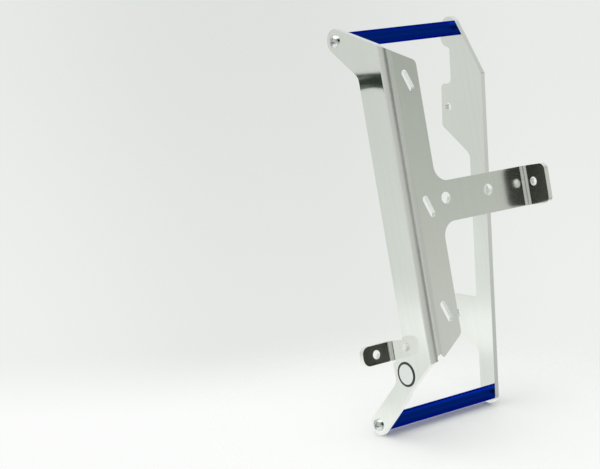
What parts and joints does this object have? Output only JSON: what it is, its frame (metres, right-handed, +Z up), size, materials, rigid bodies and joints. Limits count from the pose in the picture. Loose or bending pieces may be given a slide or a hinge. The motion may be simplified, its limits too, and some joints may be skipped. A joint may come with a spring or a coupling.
{
  "type": "motorcycle radiator guard",
  "caption": "Bent-sheet radiator guard for an off-road motorcycle: a folded outer plate with a cross arm and a flat inner plate, tied by round spacer bars, with fixing tabs.",
  "frame": {"origin": "centre of the hole in the flap at the end of the cross arm, half way through the sheet", "axes": "+X along the spacers, from the folded outer plate to the inner plate; +Y to the rear, away from the front face; +Z up along the fold"},
  "size_m": [0.1532, 0.1326, 0.3165],
  "materials": {
    "brushed_plate": "polished bare aluminium with a fine brushed grain",
    "blue_bar": "blue anodised, glossy",
    "screw_steel": "zinc-plated",
    "sticker": "plain disc with a black rim and a blank pale middle"
  },
  "bodies": {
    "root": {"outer_plate": "brushed_plate", "back_plate": "brushed_plate", "top_spacer": "blue_bar", "low_spacer": "blue_bar", "screw_outer_top": "screw_steel", "screw_outer_low": "screw_steel", "screw_back_top": "screw_steel", "screw_back_low": "screw_steel", "roundel": "sticker"}
  },
  "joints": []
}
